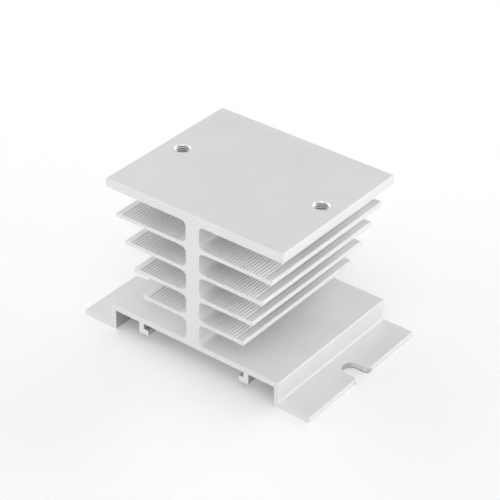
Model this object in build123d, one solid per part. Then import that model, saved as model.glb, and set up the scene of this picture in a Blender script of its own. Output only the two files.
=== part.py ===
"""Relay heat sink: one length of extruded aluminium, sawn off, drilled, tapped and slotted.

Its top plate carries the relay. A stem under the plate holds four pairs of ribbed fins and
ends in a raised base with two slotted feet. Two hooks under the base take a mounting rail.
X runs across the section, Y along the extrusion and Z up. The origin is the middle of the
rectangle that the feet stand on. All sizes are in millimetres.
"""
from build123d import *
import math
import os

# Extrusion
LENGTH = 50.0
HEIGHT = 50.0

# Top plate, where the relay sits
PLATE_WIDTH = 60.0
PLATE_THICK = 3.0
PLATE_EDGE_R = 0.5

# Tapped holes for the relay's two screws, M4
RELAY_HOLE_PITCH = 47.6
RELAY_BORE_D = 3.3
RELAY_CHAMFER_D = 4.8

# Stem between the plate and the base
STEM_THICK = 4.5
STEM_CORNER_R = 1.5

# Fins, counted from the top one down on each side of the stem, and evenly spread between
# the air gap under the plate and the one over the base
FIN_ROWS = 4
FIN_THICK = 1.5
GAP_UNDER_PLATE = 6.8
GAP_OVER_BASE = 6.9
TOP_FIN_SPAN = 53.5
FIN_TIP_STEP = 3.0
FIN_TIP_R = 0.5

# Lengthwise ribs on both faces of each fin, with a plain band at its tip
RIB_PITCH = 1.0
RIB_DEPTH = 0.25
RIB_PLAIN_BAND = 2.2

# Base, raised on two risers
BASE_HEIGHT = 8.4
BASE_WIDTH = 59.0
BASE_THICK = 1.8
RISER_THICK = 1.4
RISER_EDGE_R = 0.4

# Feet, each measured out from its riser
FOOT_LENGTH = 10.5
FOOT_THICK = 1.8
FOOT_ROOT_R = 0.5
FOOT_EDGE_R = 0.5

# Foot slots, open at the foot's edge
SLOT_SCREW_INSET = 4.0
SLOT_WIDTH = 5.3
SLOT_MOUTH_R = 1.5

# Hooks for the edges of the mounting rail
RAIL_WIDTH = 35.0
RAIL_SIDE_CLEARANCE = 0.2
RAIL_EDGE_ROOM = 1.7
HOOK_LEG_THICK = 1.7
HOOK_TOE_REACH = 1.6
HOOK_TOE_THICK = 1.8
HOOK_EDGE_R = 0.3

# Reach of a cutting shape past the face that it starts from
PAST = 1.0
# Share of a wall that the two radii on its edges may take up between them
ROUND_SHARE = 0.9
# Distance within which a corner counts as the one that is asked for
NEAR = 0.01

PLATE_UNDERSIDE = HEIGHT - PLATE_THICK
BASE_UNDERSIDE = BASE_HEIGHT - BASE_THICK
STEM_SIDE = STEM_THICK / 2
TOP_FIN_TOP = PLATE_UNDERSIDE - GAP_UNDER_PLATE
BOTTOM_FIN_TOP = BASE_HEIGHT + GAP_OVER_BASE + FIN_THICK
FIN_PITCH = (TOP_FIN_TOP - BOTTOM_FIN_TOP) / max(FIN_ROWS - 1, 1)
FIN_GAP = FIN_PITCH - FIN_THICK
RISER_OUTSIDE = BASE_WIDTH / 2
RISER_INSIDE = RISER_OUTSIDE - RISER_THICK
FOOT_TIP = RISER_OUTSIDE + FOOT_LENGTH
SLOT_SCREW = FOOT_TIP - SLOT_SCREW_INSET
HOOK_INSIDE = RAIL_WIDTH / 2 + RAIL_SIDE_CLEARANCE
HOOK_OUTSIDE = HOOK_INSIDE + HOOK_LEG_THICK
HOOK_TOE_TIP = HOOK_INSIDE - HOOK_TOE_REACH
HOOK_TOE_TOP = BASE_UNDERSIDE - RAIL_EDGE_ROOM
HOOK_BOTTOM = HOOK_TOE_TOP - HOOK_TOE_THICK


def edge_radius(radius, wall):
    """Returns the radius, or as much of it as fits twice on the end of the wall."""
    return min(radius, ROUND_SHARE * wall / 2)


def bar(left, right, bottom, top):
    """Returns a rectangle of the section between two X and two Z values."""
    return Pos((left + right) / 2, (bottom + top) / 2) * Rectangle(right - left, top - bottom)


def pair_of_bars(inner, outer, bottom, top):
    """Returns a rectangle on the right of the stem, with its mirror image on the left."""
    return bar(inner, outer, bottom, top) + bar(-outer, -inner, bottom, top)


def on_both_sides(points):
    """Returns the points with their mirror images across the stem."""
    return [(side * across, up) for across, up in points for side in (1, -1)]


def rounded(section, points, radius):
    """Returns the section with its corners at these points rounded to the radius."""
    corners = [
        vertex
        for vertex in section.vertices()
        if any(math.dist((vertex.X, vertex.Y), point) < NEAR for point in on_both_sides(points))
    ]
    return fillet(corners, radius)


def fin_rows():
    """Returns the tip, underside and top of the fin in each row, from the top row down."""
    rows = []
    for row in range(FIN_ROWS):
        tip = TOP_FIN_SPAN / 2 - row * FIN_TIP_STEP
        top = TOP_FIN_TOP - row * FIN_PITCH
        rows.append((tip, top - FIN_THICK, top))
    return rows


def rib_grooves(tip, face, into):
    """Returns the row of V grooves that leaves the ribs on one face of a right-hand fin.

    The grooves are cut by RIB_DEPTH along Z in the direction of into, which is 1 or -1.
    """
    room = tip - RIB_PLAIN_BAND - STEM_SIDE - STEM_CORNER_R
    count = int(room / RIB_PITCH)
    outer = tip - RIB_PLAIN_BAND
    inner = outer - count * RIB_PITCH
    teeth = [(outer, face - into * PAST), (outer, face)]
    for groove in range(count):
        crest = outer - groove * RIB_PITCH
        teeth.append((crest - RIB_PITCH / 2, face + into * RIB_DEPTH))
        teeth.append((crest - RIB_PITCH, face))
    teeth.append((inner, face - into * PAST))
    return make_face(Polyline(*teeth, close=True))


def section_walls():
    """Returns the section's straight walls, with sharp corners and plain fins."""
    walls = bar(-PLATE_WIDTH / 2, PLATE_WIDTH / 2, PLATE_UNDERSIDE, HEIGHT)
    walls += bar(-STEM_SIDE, STEM_SIDE, BASE_UNDERSIDE, HEIGHT)
    for tip, underside, top in fin_rows():
        walls += bar(-tip, tip, underside, top)
    walls += bar(-RISER_OUTSIDE, RISER_OUTSIDE, BASE_UNDERSIDE, BASE_HEIGHT)
    walls += pair_of_bars(RISER_INSIDE, RISER_OUTSIDE, 0, BASE_HEIGHT)
    walls += pair_of_bars(RISER_INSIDE, FOOT_TIP, 0, FOOT_THICK)
    walls += pair_of_bars(HOOK_INSIDE, HOOK_OUTSIDE, HOOK_BOTTOM, BASE_HEIGHT)
    walls += pair_of_bars(HOOK_TOE_TIP, HOOK_OUTSIDE, HOOK_BOTTOM, HOOK_TOE_TOP)
    return walls


def extruded_section():
    """Returns the whole section, with its corners rounded and the ribs on its fins."""
    section = section_walls()
    stem_corners = [(STEM_SIDE, PLATE_UNDERSIDE), (STEM_SIDE, BASE_HEIGHT)]
    fin_tips = []
    for tip, underside, top in fin_rows():
        stem_corners += [(STEM_SIDE, underside), (STEM_SIDE, top)]
        fin_tips += [(tip, underside), (tip, top)]
    plate_edges = [(PLATE_WIDTH / 2, PLATE_UNDERSIDE), (PLATE_WIDTH / 2, HEIGHT)]
    foot_edges = [(FOOT_TIP, 0), (FOOT_TIP, FOOT_THICK), (RISER_INSIDE, 0)]
    toe_edges = [(HOOK_TOE_TIP, HOOK_BOTTOM), (HOOK_TOE_TIP, HOOK_TOE_TOP)]

    section = rounded(section, stem_corners, edge_radius(STEM_CORNER_R, FIN_GAP))
    section = rounded(section, fin_tips, edge_radius(FIN_TIP_R, FIN_THICK))
    section = rounded(section, plate_edges, edge_radius(PLATE_EDGE_R, PLATE_THICK))
    section = rounded(section, foot_edges, edge_radius(FOOT_EDGE_R, FOOT_THICK))
    section = rounded(section, [(RISER_OUTSIDE, FOOT_THICK)], FOOT_ROOT_R)
    section = rounded(section, [(RISER_OUTSIDE, BASE_HEIGHT)], RISER_EDGE_R)
    section = rounded(section, toe_edges, edge_radius(HOOK_EDGE_R, HOOK_TOE_THICK))
    section = rounded(section, [(HOOK_OUTSIDE, HOOK_BOTTOM)], edge_radius(HOOK_EDGE_R, HOOK_LEG_THICK))

    for tip, underside, top in fin_rows():
        grooves = rib_grooves(tip, top, -1) + rib_grooves(tip, underside, 1)
        section -= grooves + grooves.mirror(Plane.YZ)
    return section


def tapped_hole():
    """Returns the tapping bore through the plate, with the chamfer at its mouth."""
    bore = Pos(0, 0, PLATE_UNDERSIDE - PAST) * extrude(Circle(RELAY_BORE_D / 2), PLATE_THICK + 2 * PAST)
    chamfer_depth = (RELAY_CHAMFER_D - RELAY_BORE_D) / 2
    chamfer = Cone(
        bottom_radius=RELAY_BORE_D / 2,
        top_radius=RELAY_CHAMFER_D / 2,
        height=chamfer_depth,
        align=(Align.CENTER, Align.CENTER, Align.MAX),
    )
    return bore + Pos(0, 0, HEIGHT) * chamfer


def foot_slot():
    """Returns the slot of the right-hand foot: a round inner end and a mouth with rounded lips."""
    half_width = SLOT_WIDTH / 2
    lip = min(SLOT_MOUTH_R, SLOT_SCREW_INSET)
    outline = Pos(SLOT_SCREW, 0) * Circle(half_width)
    outline += bar(SLOT_SCREW, FOOT_TIP + PAST, -half_width, half_width)
    mouth = bar(FOOT_TIP - lip, FOOT_TIP + PAST, -half_width - lip, half_width + lip)
    for side in (1, -1):
        mouth -= Pos(FOOT_TIP - lip, side * (half_width + lip)) * Circle(lip)
    return Pos(0, 0, -PAST) * extrude(outline + mouth, FOOT_THICK + FOOT_ROOT_R + PAST)


heat_sink = extrude(Plane.XZ * extruded_section(), amount=LENGTH / 2, both=True)
for side in (1, -1):
    heat_sink -= Pos(side * RELAY_HOLE_PITCH / 2, 0, 0) * tapped_hole()
heat_sink -= foot_slot() + foot_slot().mirror(Plane.YZ)

heat_sink.label = "heat_sink"
os.makedirs("parts", exist_ok=True)
export_step(heat_sink, "parts/heat_sink.step")
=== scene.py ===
"""Studio scene of the relay heat sink: its CAD model with cut threads and an aluminium finish."""

import logging
import math
from collections.abc import Mapping
from dataclasses import dataclass, field
from enum import Enum
from functools import cached_property

import bmesh
import bpy
from mathutils import Matrix, Vector


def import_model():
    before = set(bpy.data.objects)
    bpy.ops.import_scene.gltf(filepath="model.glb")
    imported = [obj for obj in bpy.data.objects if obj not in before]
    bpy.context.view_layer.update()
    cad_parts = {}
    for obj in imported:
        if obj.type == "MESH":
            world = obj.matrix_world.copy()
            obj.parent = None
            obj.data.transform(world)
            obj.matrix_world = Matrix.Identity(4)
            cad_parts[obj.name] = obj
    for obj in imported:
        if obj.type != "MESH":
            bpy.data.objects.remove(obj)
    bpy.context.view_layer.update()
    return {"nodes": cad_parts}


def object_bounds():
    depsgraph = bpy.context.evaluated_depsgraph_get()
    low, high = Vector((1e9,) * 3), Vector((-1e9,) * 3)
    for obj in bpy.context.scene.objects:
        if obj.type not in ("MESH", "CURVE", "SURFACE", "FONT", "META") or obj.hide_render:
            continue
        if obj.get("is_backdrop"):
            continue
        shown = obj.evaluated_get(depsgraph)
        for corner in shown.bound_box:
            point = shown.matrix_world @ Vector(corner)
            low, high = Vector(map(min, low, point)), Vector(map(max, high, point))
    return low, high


MM = 0.001
CAD_NODE = "heat_sink"
log = logging.getLogger("heat_sink")


class Wire:
    """A node's output socket that takes part in Python expressions."""

    def __init__(self, tree: "ShaderTree", socket: bpy.types.NodeSocket) -> None:
        """Wraps a socket.

        Args:
            tree: The tree that the socket is in.
            socket: The output socket.
        """
        self.tree = tree
        self.socket = socket

    def __add__(self, other: "Value") -> "Wire":
        """This value plus another."""
        return self.tree.math("ADD", self, other)

    def __radd__(self, other: "Value") -> "Wire":
        """Another value plus this one."""
        return self.tree.math("ADD", other, self)

    def __sub__(self, other: "Value") -> "Wire":
        """This value less another."""
        return self.tree.math("SUBTRACT", self, other)

    def __rsub__(self, other: "Value") -> "Wire":
        """Another value less this one."""
        return self.tree.math("SUBTRACT", other, self)

    def __mul__(self, other: "Value") -> "Wire":
        """This value times another."""
        return self.tree.math("MULTIPLY", self, other)

    def __rmul__(self, other: "Value") -> "Wire":
        """Another value times this one."""
        return self.tree.math("MULTIPLY", other, self)

    def __abs__(self) -> "Wire":
        """This value without its sign."""
        return self.tree.math("ABSOLUTE", self)


Triple = tuple[float, float, float]
Step = tuple[float, float]
Value = Wire | float
Tone = Wire | Triple


@dataclass(frozen=True)
class Pattern:
    """A noise pattern.

    The scale is in features per unit of position, once each axis is stretched by its own
    number. The detail is the count of finer layers, and the roughness is their strength.
    """

    scale: float
    detail: float
    roughness: float
    stretch: Triple = (1.0, 1.0, 1.0)


class ShaderTree:
    """A material's node tree, built from Python expressions."""

    def __init__(self, name: str) -> None:
        """Starts a material with an empty tree.

        Args:
            name: The material's name.
        """
        self.material = bpy.data.materials.new(name)
        self.material.use_nodes = True
        self.tree = self.material.node_tree
        self.tree.nodes.clear()

    def node(
        self,
        kind: str,
        settings: Mapping[str, object] | None = None,
        values: Mapping[str | int, object] | None = None,
    ) -> bpy.types.Node:
        """Adds a node.

        Args:
            kind: The node's type without its ShaderNode prefix.
            settings: The node's own settings, which are set first.
            values: A number, colour or wire for each named or numbered input.

        Returns:
            The new node.
        """
        made = self.tree.nodes.new("ShaderNode" + kind)
        for name, setting in (settings or {}).items():
            setattr(made, name, setting)
        for name, value in (values or {}).items():
            if isinstance(value, Wire):
                self.tree.links.new(value.socket, made.inputs[name])
            else:
                made.inputs[name].default_value = value
        return made

    def out(self, made: bpy.types.Node, name: str | int = 0) -> Wire:
        """The named output of a node."""
        return Wire(self, made.outputs[name])

    def math(self, operation: str, *values: Value) -> Wire:
        """A Math node on one or two values."""
        return self.out(self.node("Math", {"operation": operation}, dict(enumerate(values))))

    def dot(self, first: Wire, second: Wire) -> Wire:
        """How far two directions agree."""
        made = self.node("VectorMath", {"operation": "DOT_PRODUCT"}, {0: first, 1: second})
        return self.out(made, "Value")

    def stretched(self, place: Wire, scale: Triple) -> Wire:
        """A position with each axis scaled by its own number."""
        return self.out(self.node("VectorMath", {"operation": "MULTIPLY"}, {0: place, 1: scale}))

    def parts(self, vector: Wire) -> tuple[Wire, Wire, Wire]:
        """The three numbers of a vector."""
        made = self.node("SeparateXYZ", values={"Vector": vector})
        return self.out(made, "X"), self.out(made, "Y"), self.out(made, "Z")

    def rises(self, value: Value, low: float, high: float) -> Wire:
        """A smooth step.

        Args:
            value: What is measured.
            low: Where the step is still 0.
            high: Where the step is 1; under low, the step falls instead.

        Returns:
            The step, from 0 to 1.
        """
        made = self.node(
            "MapRange",
            {"interpolation_type": "SMOOTHSTEP", "clamp": True},
            {"Value": value, "From Min": low, "From Max": high, "To Min": 0.0, "To Max": 1.0},
        )
        return self.out(made, "Result")

    def within(self, value: Value, low: float, high: float, fade: float) -> Wire:
        """1 between two limits, falling to 0 over the fade outside them."""
        return self.rises(value, low - fade, low) * self.rises(value, high + fade, high)

    def blend(self, factor: Value, first: Tone, second: Tone) -> Wire:
        """A colour between two colours.

        Args:
            factor: 0 for the first, 1 for the second.
            first: A colour or a wire.
            second: A colour or a wire.

        Returns:
            The blended colour.
        """
        first, second = (
            tone if isinstance(tone, Wire) else (*tone, 1.0) for tone in (first, second)
        )
        settings = {"data_type": "RGBA", "clamp_factor": True}
        made = self.node("Mix", settings, {0: factor, 6: first, 7: second})
        return self.out(made, 2)

    def noise(self, place: Wire, pattern: Pattern) -> Wire:
        """A noise value.

        Args:
            place: The position that it varies with.
            pattern: What the noise looks like.

        Returns:
            The noise, from 0 to 1.
        """
        made = self.node(
            "TexNoise",
            values={
                "Vector": self.stretched(place, pattern.stretch),
                "Scale": pattern.scale,
                "Detail": pattern.detail,
                "Roughness": pattern.roughness,
            },
        )
        return self.out(made, 0)

    def finish(self, shader: bpy.types.Node) -> bpy.types.Material:
        """Sends a shader to the material's output and gives the material."""
        self.node("OutputMaterial", values={"Surface": self.out(shader)})
        return self.material


@dataclass(frozen=True)
class SurfaceSizes:
    """Where one surface of the heat sink ends and the next begins.

    Places are in millimetres from the middle of the underside. A step goes from where a
    mask is 0 to where it is 1, and a facing step is in shares of a unit normal. The painted
    light and shade on the left ribs is a share of that on the right ones.
    """

    half_length: float = 25.0
    plate_top: float = 50.0
    hole_x: float = 23.8
    chamfer_radius: float = 2.42
    thread_crest_radius: float = 1.65
    fins_from_z: float = 15.2
    fins_to_z: float = 40.3
    slot_from_x: float = 32.0
    slot_half_width: float = 4.2
    foot_top: float = 1.9
    base_under: float = 6.6
    riser_inside: float = 28.1
    fade: float = 0.1
    end_facing: Step = (0.60, 0.90)
    end_depth: Step = (0.4, 0.2)
    end_margin: Step = (0.2, 0.3)
    slot_facing: Step = (0.60, 0.40)
    round_end_facing: Step = (0.25, 0.75)
    chamfer_edge: Step = (0.04, -0.02)
    hole_depth: Step = (3.4, 3.2)
    root_edge: Step = (0.05, 0.25)
    root_depth: Step = (0.35, 0.6)
    underside_edge: Step = (0.15, 0.05)
    flat_facing: Step = (0.85, 0.95)
    rib_depth_below: float = 0.5
    rib_facing: Step = (0.80, 0.86)
    rib_outwards_full: float = 0.45
    rib_reach: Step = (5.0, 15.0)
    stem_sides: Step = (-2.0, 2.0)
    left_rib_shading_strength: float = 0.6


class Surfaces:
    """The surfaces of the heat sink, each as a mask from 0 to 1 in a shader tree."""

    def __init__(self, tree: ShaderTree, sizes: SurfaceSizes) -> None:
        """Reads where each point is and which way it faces.

        Args:
            tree: The tree to build in.
            sizes: Where the surfaces lie.
        """
        coordinates = tree.node("TexCoord")
        self.tree = tree
        self.sizes = sizes
        self.place = tree.stretched(tree.out(coordinates, "Object"), (1 / MM,) * 3)
        self.x, self.y, self.z = tree.parts(self.place)
        self.across, self.along, self.up = tree.parts(tree.out(coordinates, "Normal"))

    @cached_property
    def from_end(self) -> Wire:
        """How far a point is from the nearer end."""
        return self.sizes.half_length - abs(self.y)

    @cached_property
    def from_top(self) -> Wire:
        """How far a point is under the plate's top."""
        return self.sizes.plate_top - self.z

    @cached_property
    def from_axis(self) -> Wire:
        """How far a point is from the axis of the tapped hole on its side."""
        off_x = abs(self.x) - self.sizes.hole_x
        return self.tree.math("SQRT", off_x * off_x + self.y * self.y)

    @cached_property
    def ends(self) -> Wire:
        """The sawn ends."""
        facing = self.tree.rises(abs(self.along), *self.sizes.end_facing)
        return facing * self.tree.rises(self.from_end, *self.sizes.end_depth)

    @cached_property
    def slots(self) -> Wire:
        """The walls of the slots in the feet.

        Returns:
            The mask, from 0 to 1.
        """
        tree, sizes, fade = self.tree, self.sizes, self.sizes.fade
        upright = tree.rises(abs(self.up), *sizes.slot_facing)
        outside = tree.rises(abs(self.x), sizes.slot_from_x, sizes.slot_from_x + fade)
        in_foot = tree.rises(self.z, sizes.foot_top + fade, sizes.foot_top)
        in_slot = tree.rises(abs(self.y), sizes.slot_half_width + fade, sizes.slot_half_width)
        return upright * outside * in_foot * in_slot

    @cached_property
    def round_ends(self) -> Wire:
        """What faces away from the stem or towards it, which in a slot is its round end."""
        return self.tree.rises(abs(self.across), *self.sizes.round_end_facing)

    @cached_property
    def holes(self) -> Wire:
        """The walls and chamfers of the tapped holes.

        Returns:
            The mask, from 0 to 1.
        """
        off_rim = self.from_axis - self.sizes.chamfer_radius
        inside = self.tree.rises(off_rim, *self.sizes.chamfer_edge)
        return inside * self.tree.rises(self.from_top, *self.sizes.hole_depth)

    @cached_property
    def thread_root_shades(self) -> Wire:
        """The roots of the threads, where shade is painted.

        Returns:
            The mask, from 0 to 1.
        """
        off_crest = self.from_axis - self.sizes.thread_crest_radius
        deep = self.tree.rises(off_crest, *self.sizes.root_edge)
        return deep * self.tree.rises(self.from_top, *self.sizes.root_depth)

    @cached_property
    def painted_underside_shade(self) -> Wire:
        """What lies under the base and between the risers, apart from the sawn ends, where shade is
        painted.

        Returns:
            The mask, from 0 to 1.
        """
        edge = self.sizes.underside_edge
        between = self.tree.rises(abs(self.x) - self.sizes.riser_inside, *edge)
        below = self.tree.rises(self.z - self.sizes.base_under, *edge)
        return between * below * (1.0 - self.ends)

    @cached_property
    def flats_up(self) -> Wire:
        """The flats that face up."""
        return self.tree.rises(self.up, *self.sizes.flat_facing)

    @cached_property
    def fine_forms(self) -> Wire:
        """The ribbed fins and the threads, whose edges are sharper than the rest.

        Returns:
            The mask, from 0 to 1.
        """
        sizes = self.sizes
        fins = self.tree.within(self.z, sizes.fins_from_z, sizes.fins_to_z, sizes.fade)
        off_ends = self.tree.rises(self.from_end, *sizes.end_margin)
        return self.tree.math("MAXIMUM", fins * off_ends, self.holes)

    @cached_property
    def rib_outwards(self) -> Wire:
        """How far the side of a rib faces outwards.

        Returns:
            Above 0 where it faces away from the stem and below 0 where it faces it.
        """
        tree, sizes = self.tree, self.sizes
        lowest = sizes.fins_from_z - sizes.rib_depth_below
        fins = tree.within(self.z, lowest, sizes.fins_to_z, sizes.fade)
        facing = tree.rises(abs(self.up), *sizes.rib_facing)
        return self.across * tree.math("SIGN", self.x) * fins * facing

    @cached_property
    def rib_shading_strength(self) -> Wire:
        """How strong the painted light and shade on the ribs' sides are.

        Returns:
            0 near the stem, and away from it 1 on the right and less on the left.
        """
        left = self.sizes.left_rib_shading_strength
        side = left + self.tree.rises(self.x, *self.sizes.stem_sides) * (1.0 - left)
        return self.tree.rises(abs(self.x), *self.sizes.rib_reach) * side

    @cached_property
    def rib_outsides_painted_light(self) -> Wire:
        """The sides of the ribs that face away from the stem, where light is painted."""
        full = self.sizes.rib_outwards_full
        return self.tree.rises(self.rib_outwards, 0.0, full) * self.rib_shading_strength

    @cached_property
    def rib_insides_painted_shade(self) -> Wire:
        """The sides of the ribs that face the stem, where shade is painted."""
        full = -self.sizes.rib_outwards_full
        return self.tree.rises(self.rib_outwards, 0.0, full) * self.rib_shading_strength


@dataclass(frozen=True)
class Marks:
    """What making and handling left on the surfaces, each from 0 to 1."""

    clouds: Wire
    die_lines: Wire
    etched_grain: Wire
    saw_lines: Wire
    sawn_grain: Wire
    rubs: Wire
    edge_wear: Wire


@dataclass(frozen=True)
class SatinAluminium:
    """Etched and clear-anodised aluminium with sawn ends, punched slots and tapped holes.

    Tones are shares of the light that the surface sends back. Radii, heights and the torn
    part of a slot are in millimetres. A step goes from where a mark is 0 to where it is 1.
    The saw's lines change by saw_run for each millimetre across the part. The slant tilts
    them and the bow bends them.
    """

    sizes: SurfaceSizes = SurfaceSizes()
    skin: Triple = (0.825, 0.827, 0.835)
    skin_dull: Triple = (0.795, 0.797, 0.807)
    sawn: Triple = (0.770, 0.772, 0.780)
    sawn_dull: Triple = (0.685, 0.687, 0.695)
    machined: Triple = (0.860, 0.860, 0.866)
    sheared: Triple = (0.700, 0.702, 0.710)
    # The fracture tone also stands as painted shade on the slots' round ends.
    fracture_and_end_shade: Triple = (0.400, 0.402, 0.410)
    # A painted shade for the deep thread roots.
    thread_root_shade: Triple = (0.240, 0.240, 0.246)
    # A painted shade for the recess under the base.
    painted_underside_shade: Triple = (0.480, 0.482, 0.490)
    # Painted light on the ribs' outer sides, then painted shade on their inner sides.
    rib_light_tone: Triple = (0.945, 0.945, 0.950)
    rib_shade_tone: Triple = (0.590, 0.592, 0.600)
    metal_share: float = 0.4
    gloss: float = 0.35
    gloss_tint: Triple = (0.70, 0.70, 0.70)
    skin_roughness: float = 0.58
    sawn_roughness: float = 0.62
    machined_roughness: float = 0.34
    edge_roughness: float = 0.30
    lowest_roughness: float = 0.08
    skin_variation: float = 0.06
    sawn_variation: float = 0.16
    rub_smoothness: float = 0.08
    edge_radius: float = 0.16
    rib_edge_radius: float = 0.03
    bevel_samples: int = 6
    die_line_height: float = 0.003
    etched_grain_height: float = 0.004
    saw_line_height: float = 0.010
    clouds: Pattern = Pattern(0.09, 3.0, 0.55)
    die_lines: Pattern = Pattern(2.6, 4.0, 0.62, (1.0, 0.012, 1.0))
    etched_grain: Pattern = Pattern(9.0, 2.0, 0.6)
    saw_lines: Pattern = Pattern(3.4, 5.0, 0.7)
    sawn_grain: Pattern = Pattern(1.8, 3.0, 0.7)
    rubs: Pattern = Pattern(0.55, 2.0, 0.6, (1.0, 0.7, 1.0))
    wear_gaps: Pattern = Pattern(0.8, 3.0, 0.6)
    skin_step: Step = (0.30, 0.75)
    sawn_grain_step: Step = (0.34, 0.66)
    rub_step: Step = (0.66, 0.74)
    wear_gap_step: Step = (0.28, 0.52)
    worn_bend: Step = (0.995, 0.86)
    torn_height: Step = (0.75, 0.35)
    torn_waviness: float = 0.25
    # How much painted shade falls on a slot's round end.
    round_end_shade_share: float = 0.6
    die_line_tone: float = 0.10
    rub_tone: float = 0.55
    wear_tone: float = 0.6
    saw_run: float = 0.035
    saw_slant: float = 0.08
    saw_bow: float = 0.0009

    def material(self) -> bpy.types.Material:
        """Builds the finish.

        Returns:
            The material for every surface of the heat sink.
        """
        tree = ShaderTree("satin_aluminium")
        on = Surfaces(tree, self.sizes)
        rounded = self.rounded(on)
        marks = self.marks(on, rounded)
        bump = tree.node(
            "Bump",
            values={
                "Strength": 1.0,
                "Distance": MM,
                "Height": self.relief(on, marks),
                "Normal": rounded,
            },
        )
        shader = tree.node(
            "BsdfPrincipled",
            values={
                "Base Color": self.colour(on, marks),
                "Metallic": self.metal_share,
                "Roughness": self.roughness(on, marks),
                "Specular IOR Level": self.gloss,
                "Specular Tint": (*self.gloss_tint, 1.0),
                "Normal": tree.out(bump),
            },
        )
        return tree.finish(shader)

    def rounded(self, on: Surfaces) -> Wire:
        """The surface's direction with its edges rounded, less so on the ribs and threads.

        Args:
            on: The heat sink's surfaces.

        Returns:
            The direction.
        """
        radius = self.edge_radius * MM
        sharper = (self.edge_radius - self.rib_edge_radius) * MM
        values = {"Radius": radius - sharper * on.fine_forms}
        return on.tree.out(on.tree.node("Bevel", {"samples": self.bevel_samples}, values))

    def marks(self, on: Surfaces, rounded: Wire) -> Marks:
        """Lays out the marks.

        Args:
            on: The heat sink's surfaces.
            rounded: The surface's direction with rounded edges.

        Returns:
            The marks.
        """
        tree, place = on.tree, on.place
        bend = tree.dot(rounded, tree.out(tree.node("NewGeometry"), "Normal"))
        gaps = tree.rises(tree.noise(place, self.wear_gaps), *self.wear_gap_step)
        return Marks(
            clouds=tree.noise(place, self.clouds),
            die_lines=tree.noise(place, self.die_lines),
            etched_grain=tree.noise(place, self.etched_grain),
            saw_lines=tree.noise(self.along_the_saw(on), self.saw_lines),
            sawn_grain=tree.rises(tree.noise(place, self.sawn_grain), *self.sawn_grain_step),
            rubs=tree.rises(tree.noise(place, self.rubs), *self.rub_step) * on.flats_up,
            edge_wear=tree.rises(bend, *self.worn_bend) * (1.0 - on.holes) * gaps,
        )

    def along_the_saw(self, on: Surfaces) -> Wire:
        """A position that hardly changes along the slanted, slightly bowed way of the saw.

        Args:
            on: The heat sink's surfaces.

        Returns:
            The position.
        """
        off_cut = on.z + on.x * self.saw_slant - on.x * on.x * self.saw_bow
        made = on.tree.node("CombineXYZ", values={"X": on.x * self.saw_run, "Z": off_cut})
        return on.tree.out(made)

    def colour(self, on: Surfaces, marks: Marks) -> Wire:
        """Puts the tones on their surfaces, painted light and shade among them.

        Args:
            on: The heat sink's surfaces.
            marks: The marks on them.

        Returns:
            The colour.
        """
        tree = on.tree
        dullness = marks.clouds + (marks.die_lines - 0.5) * self.die_line_tone
        colour = tree.blend(tree.rises(dullness, *self.skin_step), self.skin, self.skin_dull)
        # Painted light on the ribs' outer sides and painted shade on their inner sides.
        colour = tree.blend(on.rib_outsides_painted_light, colour, self.rib_light_tone)
        colour = tree.blend(on.rib_insides_painted_shade, colour, self.rib_shade_tone)
        colour = tree.blend(marks.rubs * self.rub_tone, colour, self.machined)
        sawn = tree.blend(marks.sawn_grain, self.sawn, self.sawn_dull)
        colour = tree.blend(on.ends, colour, sawn)
        # Painted shade under the base, between the risers.
        colour = tree.blend(on.painted_underside_shade, colour, self.painted_underside_shade)
        colour = tree.blend(on.slots, colour, self.slot_wall(on, marks))
        # Painted shade in the thread roots of the tapped holes.
        tapped = tree.blend(on.thread_root_shades, self.machined, self.thread_root_shade)
        colour = tree.blend(on.holes, colour, tapped)
        return tree.blend(marks.edge_wear * self.wear_tone, colour, self.machined)

    def slot_wall(self, on: Surfaces, marks: Marks) -> Wire:
        """The tone of a slot's wall, darker at its torn lower edge and with painted shade on the
        round end.

        Args:
            on: The heat sink's surfaces.
            marks: The marks on them.

        Returns:
            The colour.
        """
        tree = on.tree
        low = tree.rises(on.z + marks.saw_lines * self.torn_waviness, *self.torn_height)
        # The low band is the torn part; the round end gets painted shade.
        torn_and_end_shade = tree.math("MAXIMUM", low, on.round_ends * self.round_end_shade_share)
        return tree.blend(torn_and_end_shade, self.sheared, self.fracture_and_end_shade)

    def roughness(self, on: Surfaces, marks: Marks) -> Wire:
        """Makes each surface as rough as its making left it.

        Args:
            on: The heat sink's surfaces.
            marks: The marks on them.

        Returns:
            The roughness.
        """
        skin = self.skin_roughness
        varied = (marks.clouds + marks.die_lines - 1.0) * self.skin_variation
        sawn = self.sawn_roughness - skin + (marks.saw_lines - 0.5) * self.sawn_variation
        rough = skin + varied - marks.rubs * self.rub_smoothness
        rough = rough + on.ends * sawn
        rough = rough + on.holes * (self.machined_roughness - skin)
        rough = rough + marks.edge_wear * (self.edge_roughness - skin)
        return on.tree.math("MAXIMUM", rough, self.lowest_roughness)

    def relief(self, on: Surfaces, marks: Marks) -> Wire:
        """Raises the die lines on the skin, the saw lines on the ends and the grain on both.

        Args:
            on: The heat sink's surfaces.
            marks: The marks on them.

        Returns:
            The height.
        """
        grain = marks.etched_grain * self.etched_grain_height
        skin = marks.die_lines * self.die_line_height + grain
        sawn = marks.saw_lines * self.saw_line_height + grain
        return (1.0 - on.ends) * skin + on.ends * sawn


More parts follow.
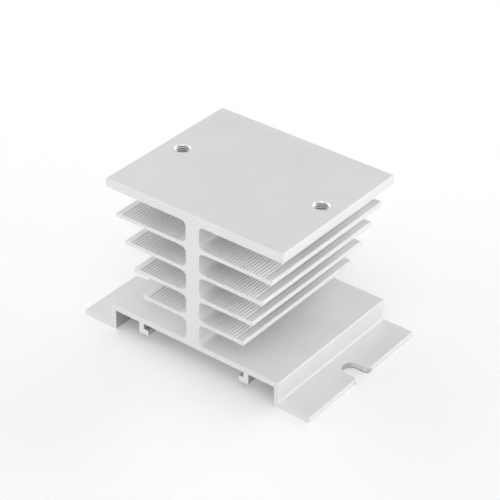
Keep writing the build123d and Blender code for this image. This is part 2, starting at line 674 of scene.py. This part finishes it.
@dataclass
class TappedHoles:
    """The two relay screw holes, whose threads are cut as a tap cuts them.

    Sizes are in millimetres: an M4 coarse thread in bores that the CAD model already has.
    """

    hole_x: float = SurfaceSizes.hole_x
    pitch: float = 0.70
    major: float = 4.0
    tooth_root: float = 1.5
    flat_share: float = 1 / 8
    flank_deg: float = 30.0
    low: float = 46.4
    high: float = 50.6
    steps_a_turn: int = 40

    def tooth(self) -> tuple[tuple[float, float], ...]:
        """The tooth's section.

        Returns:
            The radius and height of each corner.
        """
        tip = self.major / 2
        flat = self.pitch * self.flat_share / 2
        flank = flat + (tip - self.tooth_root) * math.tan(math.radians(self.flank_deg))
        return (self.tooth_root, -flank), (tip, -flat), (tip, flat), (self.tooth_root, flank)

    def tap(self, name: str, at_x: float) -> bpy.types.Object:
        """Makes the helical tooth of a tap.

        Args:
            name: The tap's name.
            at_x: Where its axis stands.

        Returns:
            The tap, kept out of the scene as a tool that cuts.
        """
        shape = bmesh.new()
        tooth = self.tooth()
        rings = []
        for step in range(round((self.high - self.low) / self.pitch * self.steps_a_turn) + 1):
            turn = step / self.steps_a_turn
            across = Vector((math.cos(math.tau * turn), math.sin(math.tau * turn), 0.0))
            middle = Vector((at_x, 0.0, self.low + self.pitch * turn))
            corners = [middle + across * radius + Vector((0, 0, up)) for radius, up in tooth]
            rings.append([shape.verts.new(corner * MM) for corner in corners])
        for here, there in zip(rings, rings[1:]):
            for this in range(len(tooth)):
                after = (this + 1) % len(tooth)
                shape.faces.new((here[this], here[after], there[after], there[this]))
        shape.faces.new(reversed(rings[0]))
        shape.faces.new(rings[-1])
        bmesh.ops.recalc_face_normals(shape, faces=shape.faces)
        mesh = bpy.data.meshes.new(name)
        shape.to_mesh(mesh)
        shape.free()
        mesh.shade_smooth()
        return bpy.data.objects.new(name, mesh)

    def cut(self, plate: bpy.types.Object) -> None:
        """Cuts both threads into the part.

        Args:
            plate: The part that the holes go through.
        """
        for name, at_x in (("left_tap", -self.hole_x), ("right_tap", self.hole_x)):
            modifier = plate.modifiers.new(name, "BOOLEAN")
            modifier.operation = "DIFFERENCE"
            modifier.solver = "EXACT"
            modifier.object = self.tap(name, at_x)


@dataclass
class HeatSinkBody:
    """The extruded heat sink, which is the CAD model's one part."""

    finish: SatinAluminium = field(default_factory=SatinAluminium)
    threads: TappedHoles = field(default_factory=TappedHoles)
    weld_distance: float = 0.001
    crease_deg: float = 30.0

    def dress(self, part: bpy.types.Object) -> None:
        """Threads, shades and finishes the part.

        Args:
            part: The CAD model's part, whose own mesh stays as it is.
        """
        skin = part.modifiers.new("one_skin", "WELD")
        skin.merge_threshold = self.weld_distance * MM
        self.threads.cut(part)
        creases = part.modifiers.new("creases", "EDGE_SPLIT")
        creases.split_angle = math.radians(self.crease_deg)
        creases.use_edge_sharp = False
        normals = part.modifiers.new("even_shading", "WEIGHTED_NORMAL")
        normals.keep_sharp = True
        material = self.finish.material()
        for slot in part.material_slots:
            slot.material = material


@dataclass
class StudioCamera:
    """The camera, by its bearing round the heat sink and its distance in millimetres.

    It aims at a point above the middle of the underside, which it sees a little aside of
    and below the middle of its picture. The clips are in metres.
    """

    bearing_deg: float = 37.278
    height_deg: float = 33.552
    roll_deg: float = 0.931
    aim_height: float = 25.0
    aside: float = -0.206
    below: float = 0.809
    distance: float = 502.973
    lens: float = 129.91
    sensor: float = 36.0
    clip_near: float = 0.05
    clip_far: float = 20.0

    def place(self) -> None:
        """Makes the camera and gives it to the scene."""
        bearing, height = math.radians(self.bearing_deg), math.radians(self.height_deg)
        level = math.cos(height)
        ahead = Vector(
            (-math.sin(bearing) * level, math.cos(bearing) * level, -math.sin(height))
        )
        right = Vector((math.cos(bearing), math.sin(bearing), 0.0))
        down = -right.cross(ahead)
        roll = math.radians(self.roll_deg)
        right, down = (
            right * math.cos(roll) - down * math.sin(roll),
            right * math.sin(roll) + down * math.cos(roll),
        )
        offset = right * self.aside + down * self.below + ahead * self.distance
        data = bpy.data.cameras.new("studio_camera")
        data.lens, data.sensor_width = self.lens, self.sensor
        data.clip_start, data.clip_end = self.clip_near, self.clip_far
        camera = bpy.data.objects.new("studio_camera", data)
        turned = Matrix((right, -down, -ahead)).transposed()
        where = (Vector((0.0, 0.0, self.aim_height)) - offset) * MM
        camera.matrix_world = Matrix.Translation(where) @ turned.to_4x4()
        bpy.context.scene.collection.objects.link(camera)
        bpy.context.scene.camera = camera


@dataclass(frozen=True)
class SoftLight:
    """A soft light: the direction towards it, its power in watts and its sizes in metres."""

    towards: Triple
    power: float
    width: float
    height: float = 0.60
    distance: float = 0.90


class Softbox(Enum):
    """The studio's soft lights."""

    OVERHEAD = SoftLight((0.34, -0.44, 0.83), 2.15, 0.60)
    RIGHT = SoftLight((0.90, 0.10, 0.38), 1.2, 0.70)
    BACK = SoftLight((0.12, 0.87, 0.42), 2.2, 0.70)
    BACK_RIGHT = SoftLight((0.55, 0.66, 0.46), 0.7, 0.30, 0.30)
    LEFT = SoftLight((-0.92, 0.20, 0.30), 1.6, 0.90)
    LEFT_HIGH = SoftLight((-0.80, 0.05, 0.60), 1.2, 0.90)
    FRONT_LEFT = SoftLight((-0.55, -0.66, 0.38), 2.0, 0.90)


@dataclass(frozen=True)
class TableWhite:
    """A matt white that glows a little far from the object and more on the wall.

    Sizes are in metres. The glows are the even light that the far floor and the wall give
    back from lamps behind them.
    """

    white: Triple = (0.96, 0.96, 0.96)
    shade: Triple = (0.94, 0.94, 0.94)
    patches: Pattern = Pattern(1.5, 2.0, 0.5)
    near_glow: Triple = (0.10, 0.10, 0.10)
    far_glow: Triple = (0.27, 0.27, 0.27)
    wall_glow: Triple = (0.72, 0.72, 0.72)
    far_from: float = 0.55
    far_to: float = 1.1
    wall_full: float = 0.2
    roughness: float = 0.9
    gloss: float = 0.1

    def material(self) -> bpy.types.Material:
        """Builds the finish.

        Returns:
            The material for the table and its wall.
        """
        tree = ShaderTree("table_white")
        place = tree.out(tree.node("TexCoord"), "Object")
        colour = tree.blend(tree.noise(place, self.patches), self.white, self.shade)
        far = tree.rises(tree.dot(place, place), self.far_from**2, self.far_to**2)
        wall = tree.rises(tree.parts(place)[2], 0.0, self.wall_full)
        glow = tree.blend(wall, tree.blend(far, self.near_glow, self.far_glow), self.wall_glow)
        shader = tree.node(
            "BsdfPrincipled",
            values={
                "Base Color": colour,
                "Roughness": self.roughness,
                "Specular IOR Level": self.gloss,
                "Emission Color": glow,
                "Emission Strength": 1.0,
            },
        )
        return tree.finish(shader)


@dataclass
class Studio:
    """A pale round table that sweeps up into a low wall, under soft lights.

    Sizes are in metres.
    """

    flat_radius: float = 2.4
    sweep_radius: float = 0.6
    wall_height: float = 1.2
    sides: int = 96
    sweep_steps: int = 9
    finish: TableWhite = field(default_factory=TableWhite)
    tent_white: Triple = (1.0, 1.0, 1.0)
    tent_strength: float = 0.20
    aim: Triple = (0.0, 0.0, 0.025)

    def build(self) -> None:
        """Makes the table, the tent and the lights."""
        self.set_table()
        self.set_tent()
        for box in Softbox:
            self.hang(box)
        view = bpy.context.scene.view_settings
        view.view_transform, view.look = "Standard", "None"

    def section(self) -> list[tuple[float, float]]:
        """The table's section, from the edge of its near part to the top of the wall.

        Returns:
            The radius and height of each point.
        """
        turns = [math.radians(90 * step / self.sweep_steps) for step in range(self.sweep_steps + 1)]
        sweep = self.sweep_radius
        curve = [
            (self.flat_radius + sweep * math.sin(turn), sweep * (1 - math.cos(turn)))
            for turn in turns
        ]
        flat = [(self.finish.far_from, 0.0), (self.finish.far_to, 0.0)]
        return [*flat, *curve, (curve[-1][0], self.wall_height)]

    def set_table(self) -> None:
        """Makes the table and its wall, which aren't part of the object."""
        shape = bmesh.new()
        turns = [math.tau * side / self.sides for side in range(self.sides)]
        rings = [
            [
                shape.verts.new((radius * math.cos(turn), radius * math.sin(turn), height))
                for turn in turns
            ]
            for radius, height in self.section()
        ]
        shape.faces.new(rings[0])
        for inner, outer in zip(rings, rings[1:]):
            for here in range(self.sides):
                after = (here + 1) % self.sides
                shape.faces.new((inner[here], outer[here], outer[after], inner[after]))
        mesh = bpy.data.meshes.new("table")
        shape.to_mesh(mesh)
        shape.free()
        mesh.shade_smooth()
        mesh.materials.append(self.finish.material())
        table = bpy.data.objects.new("table", mesh)
        bpy.context.scene.collection.objects.link(table)
        table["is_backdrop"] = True

    def set_tent(self) -> None:
        """Surrounds the table with even white light."""
        world = bpy.data.worlds.new("light_tent")
        world.use_nodes = True
        background = next(n for n in world.node_tree.nodes if n.type == "BACKGROUND")
        background.inputs["Color"].default_value = (*self.tent_white, 1.0)
        background.inputs["Strength"].default_value = self.tent_strength
        bpy.context.scene.world = world

    def hang(self, box: Softbox) -> None:
        """Hangs one softbox so that it faces the heat sink.

        Args:
            box: Which softbox.
        """
        soft, aim = box.value, Vector(self.aim)
        data = bpy.data.lights.new(box.name.lower(), "AREA")
        data.shape, data.energy = "RECTANGLE", soft.power
        data.size, data.size_y = soft.width, soft.height
        light = bpy.data.objects.new(box.name.lower(), data)
        light.location = aim + Vector(soft.towards).normalized() * soft.distance
        light.rotation_mode = "QUATERNION"
        light.rotation_quaternion = (aim - light.location).to_track_quat("-Z", "Y")
        bpy.context.scene.collection.objects.link(light)


def corners() -> list[list[float]]:
    """The shown object's lowest and highest corner as plain numbers."""
    return [list(map(float, corner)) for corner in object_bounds()]


def main() -> None:
    """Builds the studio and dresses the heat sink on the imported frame."""
    logging.basicConfig(level=logging.INFO, format="%(message)s")
    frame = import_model()
    StudioCamera().place()
    Studio().build()
    log.info("studio: camera, table and %d softboxes", len(Softbox))
    part = frame["nodes"][CAD_NODE]
    HeatSinkBody().dress(part)
    log.info("%s: threads cut, satin aluminium finish", part.name)


if __name__ == "__main__":
    main()
